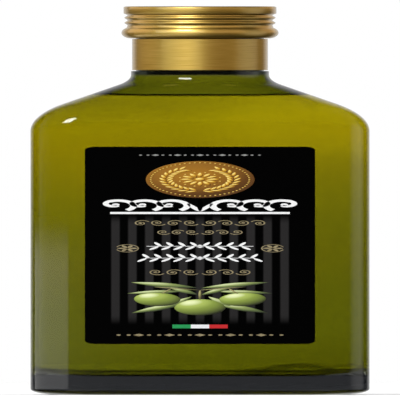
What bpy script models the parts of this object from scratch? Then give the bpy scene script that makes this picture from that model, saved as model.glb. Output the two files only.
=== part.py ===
"""Olive oil bottle: a square 750 ml glass bottle with sloping shoulders and a ribbed screw cap.

Metres, +Z up. The origin is on the bottle's axis, on the surface that it stands on, and the label
faces -Y. The glass is one hollow piece, open at its mouth. The oil in it, the cap, the collar below
the cap and the label are pieces of their own, each a hair clear of what it touches.
"""

import math

import bmesh
import bpy

MM = 0.001
GAP = 0.3 * MM

# Body: a square with rounded corners, measured across its flat faces
BODY_HALF = 36.8 * MM
BODY_CORNER = 8.75 * MM
WALL = 3.3 * MM

# Base: the heel turns the walls into a flat ring round a shallow hollow
HEEL_WIDTH = 7.5 * MM
HEEL_HEIGHT = 4.0 * MM
REST_WIDTH = 5.3 * MM
HOLLOW_HEIGHT = 3.0 * MM
BASE_THICKNESS = 12.0 * MM
INNER_HEEL_WIDTH = 9.0 * MM
INNER_HEEL_HEIGHT = 8.0 * MM
FLOOR_RISE = 1.5 * MM

# Shoulder: an outward bend, a straight slope and an inward bend into the round neck
SHOULDER_START = 169.4 * MM
SHOULDER_RADIUS = 25.0 * MM
SHOULDER_SLOPE = math.radians(44.3)
NECK_RADIUS = 15.0 * MM
NECK_BEND = 9.0 * MM

# Mouth: above a small step the neck is narrower, and the collar and the cap go over it
STEP_HEIGHT = 208.1 * MM
FINISH_RADIUS = 13.9 * MM
MOUTH_HEIGHT = 246.6 * MM
LIP = 0.8 * MM

OIL_LEVEL = 193.2 * MM

# Collar: a thin plain tube on the neck
COLLAR_RADIUS = 14.75 * MM
COLLAR_WALL = 0.5 * MM
COLLAR_BOTTOM = 208.6 * MM
COLLAR_TOP = 228.7 * MM
COLLAR_EDGE = 0.12 * MM

# Cap: a plain band over three grooves and a round bead
CAP_BOTTOM = 229.0 * MM
CAP_TOP = 249.6 * MM
CAP_ROOF = 246.9 * MM
CAP_BORE = 14.25 * MM
BAND_RADIUS = 16.6 * MM
BAND_BOTTOM = 245.1 * MM
BAND_EDGE = 0.8 * MM
GROOVES = 3
GROOVE_PITCH = 3.3 * MM
GROOVE_TOP = 243.9 * MM
GROOVE_RADIUS = 15.75 * MM
RIB_RADIUS = 16.42 * MM
BEAD_CENTRE = 15.0 * MM
BEAD_REACH = 2.05 * MM
BEAD_HEIGHT = 3.6 * MM
BEAD_END = math.radians(62)

# Label: a thin plate with round corners on the front face
LABEL_HALF_WIDTH = 24.75 * MM
LABEL_BOTTOM = 32.7 * MM
LABEL_TOP = 159.2 * MM
LABEL_CORNER = 2.2 * MM
LABEL_THICKNESS = 0.25 * MM

# How finely round forms are divided
CORNER_POINTS = 10
ARC_STEPS = 6
BEND_STEPS = 5
TURN_STEPS = 44


def square_ring(half, corner, height):
    """Points of a square with rounded corners, seen from above, anticlockwise.

    No point lies where a corner meets a flat side, so the ring stays sound when it is a full circle.
    """
    centre = half - corner
    points = []
    for quarter in range(4):
        for index in range(CORNER_POINTS):
            angle = (quarter + (index + 0.5) / CORNER_POINTS) * math.pi / 2
            side_x = math.copysign(centre, math.cos(angle))
            side_y = math.copysign(centre, math.sin(angle))
            x = side_x + corner * math.cos(angle)
            y = side_y + corner * math.sin(angle)
            points.append((x, y, height))
    return points


def body_corner(half, inset):
    """Corner radius where the plan has this half width: it grows until the neck is round."""
    body = BODY_HALF - inset
    neck = NECK_RADIUS - inset
    corner = BODY_CORNER - inset
    return corner + (neck - corner) * (body - half) / (body - neck)


def shoulder_outline(inset):
    """Half widths and heights up the shoulder, this far inside the outer surface."""
    cos_slope = math.cos(SHOULDER_SLOPE)
    sin_slope = math.sin(SHOULDER_SLOPE)
    outward_half = BODY_HALF - SHOULDER_RADIUS
    slope_start = outward_half + SHOULDER_RADIUS * cos_slope
    slope_end = NECK_RADIUS + NECK_BEND * (1 - cos_slope)
    slope_rise = (slope_start - slope_end) * cos_slope / sin_slope
    inward_half = NECK_RADIUS + NECK_BEND
    inward_height = SHOULDER_START + (SHOULDER_RADIUS + NECK_BEND) * sin_slope + slope_rise

    outline = []
    radius = SHOULDER_RADIUS - inset
    for step in range(ARC_STEPS + 1):
        angle = SHOULDER_SLOPE * step / ARC_STEPS
        half = outward_half + radius * math.cos(angle)
        outline.append((half, SHOULDER_START + radius * math.sin(angle)))
    radius = NECK_BEND + inset
    for step in range(BEND_STEPS + 1):
        angle = SHOULDER_SLOPE * (1 - step / BEND_STEPS)
        half = inward_half - radius * math.cos(angle)
        outline.append((half, inward_height - radius * math.sin(angle)))
    return outline


def shoulder_rings(outline, inset):
    return [square_ring(half, body_corner(half, inset), height) for half, height in outline]


def heel_rings(half, corner, foot, width, height):
    """Rings of a quarter ellipse from a flat foot out to the upright wall."""
    rings = []
    for step in range(ARC_STEPS + 1):
        angle = math.pi / 2 * step / ARC_STEPS
        ring_half = half - width * (1 - math.sin(angle))
        ring_height = foot + height * (1 - math.cos(angle))
        rings.append(square_ring(ring_half, corner, ring_height))
    return rings


def hollow_rings(half, foot, rise):
    """Rings of a shallow dome, from its narrow top out to its foot."""
    rings = []
    for step in range(3, -1, -1):
        share = step / 4
        ring_half = half * (1 - share)
        height = foot + rise * math.sin(share * math.pi / 2)
        rings.append(square_ring(ring_half, min(BODY_CORNER, ring_half), height))
    return rings


def cut_at_level(outline, level):
    """The part of a rising outline that is below the level, ended exactly at it."""
    below = [point for point in outline if point[1] < level]
    half, height = below[-1]
    next_half, next_height = outline[len(below)]
    share = (level - height) / (next_height - height)
    return below + [(half + (next_half - half) * share, level)]


def add_object(name, bm, material, parent, location=(0, 0, 0)):
    """Turn a bmesh into a named object with its faces pointing out and its round parts smooth."""
    bmesh.ops.recalc_face_normals(bm, faces=bm.faces[:])
    mesh = bpy.data.meshes.new(name)
    bm.to_mesh(mesh)
    bm.free()
    mesh.shade_smooth()
    mesh.set_sharp_from_angle(angle=math.radians(40))
    mesh.materials.append(material)
    piece = bpy.data.objects.new(name, mesh)
    bpy.context.scene.collection.objects.link(piece)
    piece.parent = parent
    piece.location = location
    return piece


def loft(rings):
    """A closed body through a chain of rings, with a flat face over the first and the last."""
    bm = bmesh.new()
    previous = None
    for ring in rings:
        verts = [bm.verts.new(point) for point in ring]
        edges = [bm.edges.new((vert, verts[index - 1])) for index, vert in enumerate(verts)]
        if previous is None:
            bmesh.ops.contextual_create(bm, geom=edges)
        else:
            bmesh.ops.bridge_loops(bm, edges=previous + edges)
        previous = edges
    bmesh.ops.contextual_create(bm, geom=previous)
    return bm


def turn(profile, closed=False):
    """Turn a profile of radii and heights round the vertical axis."""
    bm = bmesh.new()
    verts = [bm.verts.new((radius, 0, height)) for radius, height in profile]
    edges = [bm.edges.new(pair) for pair in zip(verts, verts[1:])]
    if closed:
        edges.append(bm.edges.new((verts[-1], verts[0])))
    bmesh.ops.spin(
        bm,
        geom=verts + edges,
        axis=(0, 0, 1),
        cent=(0, 0, 0),
        angle=math.tau,
        steps=TURN_STEPS,
        use_merge=True,
    )
    bmesh.ops.remove_doubles(bm, verts=bm.verts[:], dist=1e-6)
    return bm


def finish_material(name, color, roughness, metallic=0.0, transmission=0.0):
    material = bpy.data.materials.new(name)
    material.use_nodes = True
    shader = material.node_tree.nodes["Principled BSDF"]
    shader.inputs["Base Color"].default_value = (*color, 1)
    shader.inputs["Roughness"].default_value = roughness
    shader.inputs["Metallic"].default_value = metallic
    shader.inputs["Transmission Weight"].default_value = transmission
    return material


def make_glass(parent):
    """One chain of rings: under the base, up the outside, over the lip and down the inside."""
    outer_foot = BODY_HALF - HEEL_WIDTH
    rings = hollow_rings(outer_foot - REST_WIDTH, 0, HOLLOW_HEIGHT)
    rings += heel_rings(BODY_HALF, BODY_CORNER, 0, HEEL_WIDTH, HEEL_HEIGHT)
    rings += shoulder_rings(shoulder_outline(0), 0)
    bore = NECK_RADIUS - WALL
    mouth = [
        (NECK_RADIUS, STEP_HEIGHT - GAP),
        (NECK_RADIUS - GAP, STEP_HEIGHT),
        (FINISH_RADIUS, STEP_HEIGHT),
        (FINISH_RADIUS, MOUTH_HEIGHT - LIP),
        (FINISH_RADIUS - LIP, MOUTH_HEIGHT),
        (bore + LIP / 2, MOUTH_HEIGHT),
        (bore, MOUTH_HEIGHT - LIP / 2),
    ]
    rings += [square_ring(radius, radius, height) for radius, height in mouth]
    rings += shoulder_rings(shoulder_outline(WALL), WALL)[::-1]
    inner_half = BODY_HALF - WALL
    inner_corner = BODY_CORNER - WALL
    heel = heel_rings(
        inner_half, inner_corner, BASE_THICKNESS, INNER_HEEL_WIDTH, INNER_HEEL_HEIGHT
    )
    rings += heel[::-1]
    floor = hollow_rings(inner_half - INNER_HEEL_WIDTH, BASE_THICKNESS, FLOOR_RISE)
    rings += floor[-2::-1]
    glass = finish_material("bottle_glass", (0.78, 0.83, 0.76), 0.05, transmission=0.9)
    return add_object("bottle_glass", loft(rings), glass, parent)


def make_oil(parent):
    """The oil fills the bottle from its floor to the level in the shoulder."""
    inset = WALL + GAP
    half = BODY_HALF - inset
    corner = BODY_CORNER - inset
    foot = BASE_THICKNESS + GAP
    rings = hollow_rings(half - INNER_HEEL_WIDTH, foot, FLOOR_RISE)[:-1]
    rings += heel_rings(half, corner, foot, INNER_HEEL_WIDTH, INNER_HEEL_HEIGHT)
    rings += shoulder_rings(cut_at_level(shoulder_outline(inset), OIL_LEVEL), inset)
    oil = finish_material("olive_oil", (0.29, 0.25, 0.01), 0.1, transmission=0.6)
    return add_object("olive_oil", loft(rings), oil, parent)


def rib_profile():
    """Three round grooves with ribs between them, from the band down to the bead."""
    middle = (RIB_RADIUS + GROOVE_RADIUS) / 2
    swing = (RIB_RADIUS - GROOVE_RADIUS) / 2
    steps = 6
    points = []
    for step in range((GROOVES - 1) * steps + 1):
        turns = step / steps
        radius = middle - swing * math.cos(math.tau * turns)
        points.append((radius, GROOVE_TOP - GROOVE_PITCH * turns))
    return points


def bead_profile():
    """Half an ellipse from the last groove out to the bead's tip and in under it."""
    centre_height = CAP_BOTTOM + BEAD_HEIGHT
    steps = 8
    points = []
    for step in range(steps + 1):
        angle = BEAD_END - (BEAD_END + math.pi / 2) * step / steps
        radius = BEAD_CENTRE + BEAD_REACH * math.cos(angle)
        points.append((radius, centre_height + BEAD_HEIGHT * math.sin(angle)))
    return points


def make_cap(parent, metal):
    profile = [
        (0, CAP_TOP),
        (BAND_RADIUS - BAND_EDGE, CAP_TOP),
        (BAND_RADIUS - 0.3 * BAND_EDGE, CAP_TOP - 0.3 * BAND_EDGE),
        (BAND_RADIUS, CAP_TOP - BAND_EDGE),
        (BAND_RADIUS, BAND_BOTTOM),
        (BAND_RADIUS - 0.3 * BAND_EDGE, BAND_BOTTOM - 0.3 * BAND_EDGE),
    ]
    profile += rib_profile()
    profile += bead_profile()
    profile += [(CAP_BORE, CAP_BOTTOM), (CAP_BORE, CAP_ROOF), (0, CAP_ROOF)]
    local = [(radius, height - CAP_BOTTOM) for radius, height in profile]
    return add_object("cap", turn(local), metal, parent, (0, 0, CAP_BOTTOM))


def make_collar(parent, metal):
    height = COLLAR_TOP - COLLAR_BOTTOM
    inner = COLLAR_RADIUS - COLLAR_WALL
    profile = [
        (COLLAR_RADIUS - COLLAR_EDGE, height),
        (COLLAR_RADIUS, height - COLLAR_EDGE),
        (COLLAR_RADIUS, COLLAR_EDGE),
        (COLLAR_RADIUS - COLLAR_EDGE, 0),
        (inner, 0),
        (inner, height),
    ]
    bm = turn(profile, closed=True)
    return add_object("cap_collar", bm, metal, parent, (0, 0, COLLAR_BOTTOM))


def make_label(parent):
    """A flat plate: its rounded outline is one face, extruded to the label's thickness."""
    half_height = (LABEL_TOP - LABEL_BOTTOM) / 2
    steps = 5
    bm = bmesh.new()
    verts = []
    for quarter in range(4):
        for step in range(steps + 1):
            angle = (quarter + step / steps) * math.pi / 2
            # The middle of a quarter tells which way its corner lies.
            middle = (quarter + 0.5) * math.pi / 2
            corner_x = math.copysign(LABEL_HALF_WIDTH - LABEL_CORNER, math.cos(middle))
            corner_z = math.copysign(half_height - LABEL_CORNER, math.sin(middle))
            x = corner_x + LABEL_CORNER * math.cos(angle)
            z = corner_z + LABEL_CORNER * math.sin(angle)
            verts.append(bm.verts.new((x, 0, z)))
    front = bm.faces.new(verts)
    side = bmesh.ops.extrude_face_region(bm, geom=[front])["geom"]
    moved = [item for item in side if isinstance(item, bmesh.types.BMVert)]
    bmesh.ops.translate(bm, verts=moved, vec=(0, -LABEL_THICKNESS, 0))
    paper = finish_material("label", (0.01, 0.01, 0.01), 0.45)
    place = (0, -BODY_HALF - GAP, (LABEL_TOP + LABEL_BOTTOM) / 2)
    return add_object("label", bm, paper, parent, place)


def main():
    for old in list(bpy.data.objects):
        bpy.data.objects.remove(old, do_unlink=True)
    bottle = bpy.data.objects.new("bottle", None)
    bpy.context.scene.collection.objects.link(bottle)
    gold = finish_material("gold_aluminium", (0.58, 0.38, 0.09), 0.35, metallic=1.0)
    make_glass(bottle)
    make_oil(bottle)
    make_collar(bottle, gold)
    make_cap(bottle, gold)
    make_label(bottle)


main()
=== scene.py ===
# %% [markdown]
# # A square bottle of olive oil
#
# The real thing is a pressed glass bottle with a square body, sloping shoulders and a round neck,
# filled with oil, shut with a gold aluminium screw cap and dressed with a black paper label. The
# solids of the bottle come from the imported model. Here each of them gets a finer piece in its place
# and a finish that starts from what the real material is.
#
# Everything is in metres, +Z up, and the label faces -Y.

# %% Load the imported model
import math

import bmesh
import bpy
from mathutils import Matrix, Vector


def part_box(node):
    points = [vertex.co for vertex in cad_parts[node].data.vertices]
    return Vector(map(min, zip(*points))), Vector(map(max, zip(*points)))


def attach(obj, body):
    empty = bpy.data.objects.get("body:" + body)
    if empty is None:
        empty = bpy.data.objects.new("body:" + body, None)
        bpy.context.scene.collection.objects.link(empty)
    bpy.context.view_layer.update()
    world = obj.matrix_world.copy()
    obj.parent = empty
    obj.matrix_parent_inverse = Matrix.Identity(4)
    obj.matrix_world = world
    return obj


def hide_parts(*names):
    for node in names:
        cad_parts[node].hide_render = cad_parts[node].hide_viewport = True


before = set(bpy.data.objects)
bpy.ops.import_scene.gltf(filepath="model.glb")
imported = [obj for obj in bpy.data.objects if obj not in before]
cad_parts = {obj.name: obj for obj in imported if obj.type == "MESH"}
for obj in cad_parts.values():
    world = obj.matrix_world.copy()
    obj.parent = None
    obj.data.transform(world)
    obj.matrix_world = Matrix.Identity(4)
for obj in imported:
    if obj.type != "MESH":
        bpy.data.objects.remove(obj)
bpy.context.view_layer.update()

MM = 0.001

# %% [markdown]
# ## Measures
#
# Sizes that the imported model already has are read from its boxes, so that the new pieces fit it. The
# others, such as the wall and the bends of the shoulder, follow the same few rules as the solids do.

# %% Read the sizes of the solids
glass_low, glass_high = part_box("bottle_glass")
oil_low, oil_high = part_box("olive_oil")
cap_low, cap_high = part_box("cap")
collar_low, collar_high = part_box("cap_collar")
label_low, label_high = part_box("label")

BODY_HALF = 36.8 * MM
BODY_CORNER = 8.75 * MM
WALL = 3.3 * MM
MOUTH_HEIGHT = glass_high[2]
OIL_LEVEL = oil_high[2]

print("oil level", round(OIL_LEVEL / MM, 2), "mm, mouth", round(MOUTH_HEIGHT / MM, 2), "mm")
print("label from", round(label_low[2] / MM, 2), "to", round(label_high[2] / MM, 2), "mm")

# %% [markdown]
# ## Rings and walls
#
# A square bottle with round corners can be lofted through rings. Each ring is a circle whose four
# quarters are pulled apart: where the pull is nothing the ring is round, as the neck is, and where it
# is large the ring is a square with rounded corners. One rule makes every height of the bottle, and
# all the rings have the same number of points, so they bridge without a twist.

# %% One ring
CORNER_POINTS = 20


def plan_ring(bm, half, corner, height):
    """A flat ring: a circle of the corner's radius with its four quarters pulled apart."""
    half_step = math.tau / (8 * CORNER_POINTS)
    turned = Matrix.Rotation(half_step, 4, "Z")
    made = bmesh.ops.create_circle(bm, segments=4 * CORNER_POINTS, radius=corner, matrix=turned)
    verts = made["verts"]
    pull = half - corner
    for axis in (0, 1):
        for side in (-1, 1):
            quarter = [vert for vert in verts if vert.co[axis] * side > 0]
            step = Vector((0, 0, 0))
            step[axis] = pull * side
            bmesh.ops.translate(bm, verts=quarter, vec=step)
    bmesh.ops.translate(bm, verts=verts, vec=(0, 0, height))
    return list({edge for vert in verts for edge in vert.link_edges})


print(4 * CORNER_POINTS, "points in each ring")

# %% [markdown]
# Bridging each ring to the next makes the skin, and a face across the first and the last ring shuts
# it. A skin with an inside carries a second material from a chosen ring onwards.

# %% A loft through many rings
def loft(rings, inside=None):
    """A closed skin through a chain of (half width, corner, height), shut at both ends.

    Faces from the ring numbered inside onwards get the second material.
    """
    bm = bmesh.new()
    loops = []
    for half, corner, height in rings:
        loops.append(plan_ring(bm, half, corner, height))
    bmesh.ops.contextual_create(bm, geom=loops[0])
    outside = set(bm.faces)
    for number, (lower, upper) in enumerate(zip(loops, loops[1:])):
        bmesh.ops.bridge_loops(bm, edges=lower + upper)
        if number + 1 == inside:
            outside = set(bm.faces)
    bmesh.ops.contextual_create(bm, geom=loops[-1])
    if inside:
        for face in bm.faces:
            face.material_index = 0 if face in outside else 1
    bmesh.ops.recalc_face_normals(bm, faces=bm.faces[:])
    return bm


# %% [markdown]
# Every piece is shaded smooth apart from its sharp edges, rides on the bottle and hides the solid
# that it stands for.

# %% From a bmesh to a piece
def add_object(name, data):
    """An object of this data, linked into the scene."""
    thing = bpy.data.objects.new(name, data)
    bpy.context.scene.collection.objects.link(thing)
    return thing


def mesh_object(name, bm, material):
    """A bmesh becomes an object in the scene, with one material."""
    mesh = bpy.data.meshes.new(name)
    bm.to_mesh(mesh)
    bm.free()
    mesh.materials.append(material)
    return add_object(name, mesh)


SHARP_ANGLE = math.radians(40)


def add_piece(name, bm, material, replaced=None):
    """A named piece of the bottle, smooth except along its sharp edges."""
    piece = mesh_object(name, bm, material)
    piece.data.shade_smooth()
    piece.data.set_sharp_from_angle(angle=SHARP_ANGLE)
    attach(piece, "root")
    if replaced:
        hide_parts(replaced)
    print("made", name, "with", len(piece.data.polygons), "faces")
    return piece


print("edges over", round(math.degrees(SHARP_ANGLE)), "degrees stay sharp")

# %% [markdown]
# ## Materials
#
# Each finish starts from a Principled shader. Colours are written as the hex values that a paint
# program shows, and one function turns them to the linear values that the shader takes. Another adds
# a node with its settings and its links, so that a pattern reads as a short list of steps. Values that
# are the same all over a surface stay on the shader's own sockets.

# %% Colour
def linear(hex_colour):
    """A hex colour as a screen shows it, turned to linear red, green and blue with an alpha."""
    values = []
    for start in (0, 2, 4):
        share = int(hex_colour[start : start + 2], 16) / 255
        values.append(share / 12.92 if share <= 0.04045 else ((share + 0.055) / 1.055) ** 2.4)
    return (*values, 1)


print("half grey on a screen is", round(linear("808080")[0], 3), "of the light")


# %% A material and its nodes
def new_material(name, colour, **values):
    """A Principled material with constant values on the shader's own sockets."""
    material = bpy.data.materials.new(name)
    material.use_nodes = True
    shader = material.node_tree.nodes["Principled BSDF"]
    shader.inputs["Base Color"].default_value = linear(colour)
    for socket, value in values.items():
        shader.inputs[socket.replace("_", " ")].default_value = value
    print("finish", name, "starts from", colour)
    return material, material.node_tree, shader


def add_node(tree, kind, settings=None, **links):
    """Add a node. Settings are its own properties; links are values or sockets for its inputs."""
    node = tree.nodes.new(kind)
    for name, value in (settings or {}).items():
        setattr(node, name, value)
    for name, value in links.items():
        number = name.removeprefix("input")
        socket = node.inputs[int(number)] if number.isdigit() else node.inputs[name.replace("_", " ")]
        if isinstance(value, bpy.types.NodeSocket):
            tree.links.new(value, socket)
        else:
            socket.default_value = value
    return node


def object_place(tree):
    """The object's own coordinates."""
    return add_node(tree, "ShaderNodeTexCoord").outputs["Object"]


def axes_of(tree, vector):
    """A place or a direction, split into its X, Y and Z."""
    return add_node(tree, "ShaderNodeSeparateXYZ", Vector=vector).outputs


def compute(tree, operation, *values):
    """One step of arithmetic on values or sockets."""
    links = {f"input{number}": value for number, value in enumerate(values)}
    return add_node(tree, "ShaderNodeMath", {"operation": operation}, **links).outputs["Value"]


def add_ramp(tree, value, stops):
    """A colour ramp over a value. Its stops are pairs of place and hex colour."""
    ramp = add_node(tree, "ShaderNodeValToRGB", Fac=value)
    elements = ramp.color_ramp.elements
    while len(elements) < len(stops):
        elements.new(0.5)
    for element, (place, colour) in zip(elements, stops):
        element.position = place
        element.color = linear(colour)
    return ramp.outputs["Color"]


# %% [markdown]
# ## The glass
#
# Container glass is pressed in a mould: its flat faces are flat, its corners and shoulders are round,
# and its base is far thicker than its walls. It is one skin that goes up the outside, over the lip of
# the mouth and down the inside.
#
# The outline of the shoulder is a bend, a straight slope and a bend back into the neck. Moving each of
# them inwards by the wall gives the inside, so one function serves the glass and the oil.

# %% The outline of the shoulder
SHOULDER_START = 169.4 * MM
SHOULDER_RADIUS = 25.0 * MM
SHOULDER_SLOPE = math.radians(44.3)
NECK_RADIUS = 15.0 * MM
NECK_BEND = 9.0 * MM
ARC_STEPS = 14
BEND_STEPS = 10


def shoulder(inset):
    """Rings up the shoulder, this far inside the outer surface: a bend, a slope and a bend back."""
    body = BODY_HALF - inset
    neck = NECK_RADIUS - inset
    corner = BODY_CORNER - inset
    outline = []
    centre = BODY_HALF - SHOULDER_RADIUS
    radius = SHOULDER_RADIUS - inset
    for step in range(ARC_STEPS + 1):
        angle = SHOULDER_SLOPE * step / ARC_STEPS
        outline.append((centre + radius * math.cos(angle), SHOULDER_START + radius * math.sin(angle)))
    slope_run = centre + SHOULDER_RADIUS * math.cos(SHOULDER_SLOPE)
    slope_run -= NECK_RADIUS + NECK_BEND * (1 - math.cos(SHOULDER_SLOPE))
    bend_height = SHOULDER_START + (SHOULDER_RADIUS + NECK_BEND) * math.sin(SHOULDER_SLOPE)
    bend_height += slope_run / math.tan(SHOULDER_SLOPE)
    radius = NECK_BEND + inset
    for step in range(BEND_STEPS + 1):
        angle = SHOULDER_SLOPE * (1 - step / BEND_STEPS)
        half = NECK_RADIUS + NECK_BEND - radius * math.cos(angle)
        outline.append((half, bend_height - radius * math.sin(angle)))
    rings = []
    for half, height in outline:
        share = (body - half) / (body - neck)
        rings.append((half, corner + (neck - corner) * share, height))
    return rings


print("outside of the shoulder", len(shoulder(0)), "rings")

# %% [markdown]
# The foot of the wall turns under in a quarter ellipse, the heel, and the bottom rises to a shallow
# dome, as pressed bottles have it, so that the bottle stands on a ring and doesn't rock.

# %% The heel and the dome
HEEL_STEPS = 10
DOME_STEPS = 8


def heel(half, corner, foot, width, height):
    """Rings of a quarter ellipse, from a flat foot out to the upright wall."""
    rings = []
    for step in range(HEEL_STEPS + 1):
        angle = math.pi / 2 * step / HEEL_STEPS
        ring_half = half - width * (1 - math.sin(angle))
        rings.append((ring_half, corner, foot + height * (1 - math.cos(angle))))
    return rings


def dome(half, foot, rise):
    """Rings of a shallow dome, from its narrow top out to its foot."""
    rings = []
    for step in range(DOME_STEPS - 1, -1, -1):
        share = step / DOME_STEPS
        ring_half = half * (1 - share)
        height = foot + rise * math.sin(share * math.pi / 2)
        rings.append((ring_half, min(BODY_CORNER, ring_half), height))
    return rings


print("a heel of", HEEL_STEPS + 1, "rings and a dome of", DOME_STEPS)

# %% The rings of the glass, up the outside and down the inside
HEEL_WIDTH = 7.5 * MM
HEEL_HEIGHT = 4.0 * MM
REST_WIDTH = 5.3 * MM
HOLLOW_HEIGHT = 3.0 * MM
BASE_THICKNESS = 12.0 * MM
INNER_HEEL_WIDTH = 9.0 * MM
INNER_HEEL_HEIGHT = 8.0 * MM
FLOOR_RISE = 1.5 * MM
STEP_HEIGHT = 208.1 * MM
STEP_ROUND = 0.3 * MM
FINISH_RADIUS = 13.9 * MM
LIP = 0.8 * MM

glass_rings = dome(BODY_HALF - HEEL_WIDTH - REST_WIDTH, 0, HOLLOW_HEIGHT)
glass_rings += heel(BODY_HALF, BODY_CORNER, 0, HEEL_WIDTH, HEEL_HEIGHT)
glass_rings += shoulder(0)
bore = NECK_RADIUS - WALL
for radius, height in [
    (NECK_RADIUS, STEP_HEIGHT - STEP_ROUND),
    (NECK_RADIUS - STEP_ROUND, STEP_HEIGHT),
    (FINISH_RADIUS, STEP_HEIGHT),
    (FINISH_RADIUS, MOUTH_HEIGHT - LIP),
    (FINISH_RADIUS - LIP, MOUTH_HEIGHT),
    (bore + LIP / 2, MOUTH_HEIGHT),
    (bore, MOUTH_HEIGHT - LIP / 2),
]:
    glass_rings.append((radius, radius, height))
lip_rings = len(glass_rings)
glass_rings += shoulder(WALL)[::-1]
inner_half = BODY_HALF - WALL
inner_corner = BODY_CORNER - WALL
inner_heel = heel(inner_half, inner_corner, BASE_THICKNESS, INNER_HEEL_WIDTH, INNER_HEEL_HEIGHT)
glass_rings += inner_heel[::-1]
glass_rings += dome(inner_half - INNER_HEEL_WIDTH, BASE_THICKNESS, FLOOR_RISE)[-2::-1]
print("glass skin of", len(glass_rings), "rings")

# %% [markdown]
# Glass and oil both get a colour for each height: a thick base, a wide body, a narrow neck. In the glass
# that is mostly the tint of what light crosses on its way through; in the oil it is partly painted light
# and shade. A ramp over the height gives each zone its colour. The bands can lean to one side, or be
# lowered by a length that changes from place to place.

# %% A tint for each height
TINT_HEIGHT = 250.0


def tint_by_height(tree, stops, lean=0.0, lowered=0.0):
    """A colour for each height, from pairs of millimetres and hex colour.

    Lean tilts the bands, and lowered is a length or a socket that is taken off the height.
    """
    way = {"operation": "DOT_PRODUCT"}
    upwards = add_node(tree, "ShaderNodeVectorMath", way, input0=object_place(tree), input1=(lean, 0, 1))
    rise = compute(tree, "SUBTRACT", upwards.outputs["Value"], lowered)
    height = add_node(tree, "ShaderNodeMapRange", Value=rise, From_Max=TINT_HEIGHT * MM)
    places = [(level / TINT_HEIGHT, colour) for level, colour in stops]
    return add_ramp(tree, height.outputs["Result"], places)


print("tints run over", TINT_HEIGHT, "mm of height")

# %% [markdown]
# Three small tools serve every finish from here on: noise in patches of a known size, a relief that is
# made from a pattern without adding faces, and two colours laid over each other.

# %% Noise, and a relief from it
def add_noise(tree, place, size, detail):
    """Noise in patches of this size."""
    noise = add_node(tree, "ShaderNodeTexNoise", Vector=place, Scale=1 / size, Detail=detail)
    return noise.outputs["Fac"]


def add_bump(tree, shader, pattern, depth, strength):
    """Let a pattern stand out of the surface by at most this depth."""
    bump = add_node(tree, "ShaderNodeBump", Strength=strength, Distance=depth, Height=pattern)
    tree.links.new(bump.outputs["Normal"], shader.inputs["Normal"])


def mix_colours(tree, share, first, second, way="MIX"):
    """Two colours laid over each other, by a share from 0 to 1."""
    settings = {"data_type": "RGBA", "blend_type": way}
    mix = add_node(tree, "ShaderNodeMix", settings, input0=share, input6=first, input7=second)
    return mix.outputs[2]


# %% [markdown]
# Container glass has an IOR of about 1.52. It is clear where the wall is thin. Through the thick base
# light crosses more than 70 mm of glass and little of it comes out, and in the empty neck a film of
# oil clings to the wall. The tint lies on the outer surface, and deepens where the neck turns away,
# because light takes a longer way through it there. Glass from a mould is never quite flat: a weak,
# wide noise ripples it. The thin slippery film that bottles are sprayed with is the coat.

# %% The finish of the glass
GLASS_BASE_TOP = 13.4
GLASS_NECK_FOOT = OIL_LEVEL / MM - 0.8
COLLAR_SHADE_FOOT = 204.9
GLASS_RIPPLE = 9.0 * MM
RIPPLE_DEPTH = 0.02 * MM
GLASS_IOR = 1.52
CLEAR = {"Roughness": 0.0, "Transmission_Weight": 1.0}
COAT = {"Coat_Weight": 0.15, "Coat_Roughness": 0.12, "Coat_IOR": 1.5}

container_glass, tree, shader = new_material(
    "container_glass", "F4F6F0", IOR=GLASS_IOR, **CLEAR, **COAT
)
glass_tint = tint_by_height(
    tree,
    [
        (0, "5C5D60"),
        (2.2, "5C5D60"),
        (3.2, "2A2B2D"),
        (GLASS_BASE_TOP, "2A2B2D"),
        (GLASS_BASE_TOP + 0.5, "E3E7D9"),
        (GLASS_NECK_FOOT, "E3E7D9"),
        (GLASS_NECK_FOOT + 0.6, "5F600A"),
        (COLLAR_SHADE_FOOT, "5F600A"),
        # above this the glass is painted dark: a painted shade and reflection of the collar over the
        # neck
        (COLLAR_SHADE_FOOT + 0.8, "3A3C34"),
    ],
)
edge_tint = tint_by_height(tree, [(GLASS_NECK_FOOT, "FFFFFF"), (GLASS_NECK_FOOT + 0.6, "6E9A60")])
facing = add_node(tree, "ShaderNodeLayerWeight", Blend=0.35)
deepened = mix_colours(tree, facing.outputs["Facing"], glass_tint, edge_tint, "MULTIPLY")
tree.links.new(deepened, shader.inputs["Base Color"])
ripple = add_noise(tree, object_place(tree), GLASS_RIPPLE, 1.0)
add_bump(tree, shader, ripple, RIPPLE_DEPTH, 1.0)

# %% [markdown]
# The inside is wet with oil, which bends light nearly as glass does. So hardly anything is reflected
# there: black as the tint of the reflection takes it away, and what is behind still shines through.

# %% The wetted inside, and the shell
def keep_flat(piece):
    """Shade by the large faces, so that flat sides stay flat between rounded corners."""
    even_faces = piece.modifiers.new("flat faces stay flat", "WEIGHTED_NORMAL")
    even_faces.keep_sharp = True


WET = {**CLEAR, "Specular_Tint": (0, 0, 0, 1)}
wetted_glass, tree, shader = new_material("wetted_glass", "FFFFFF", IOR=GLASS_IOR, **WET)
skin = loft(glass_rings, inside=lip_rings)
shell = add_piece("bottle_shell", skin, container_glass, "bottle_glass")
shell.data.materials.append(wetted_glass)
keep_flat(shell)

# %% [markdown]
# ## The oil
#
# A liquid wets its vessel: there is no air between them, and its surface creeps up the wall in a
# small curve, which shows as a dark line. So the oil's skin lies just inside the glass wall, and its
# top has that curve. The sloping wall bends the line of sight, which makes the level look a little
# higher than it is, so the oil stands that much lower.

# %% The skin of the oil
OIL_INTO_WALL = 0.12 * MM
CREEP = 0.4 * MM
SIGHT_BEND = 1.4 * MM

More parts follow.
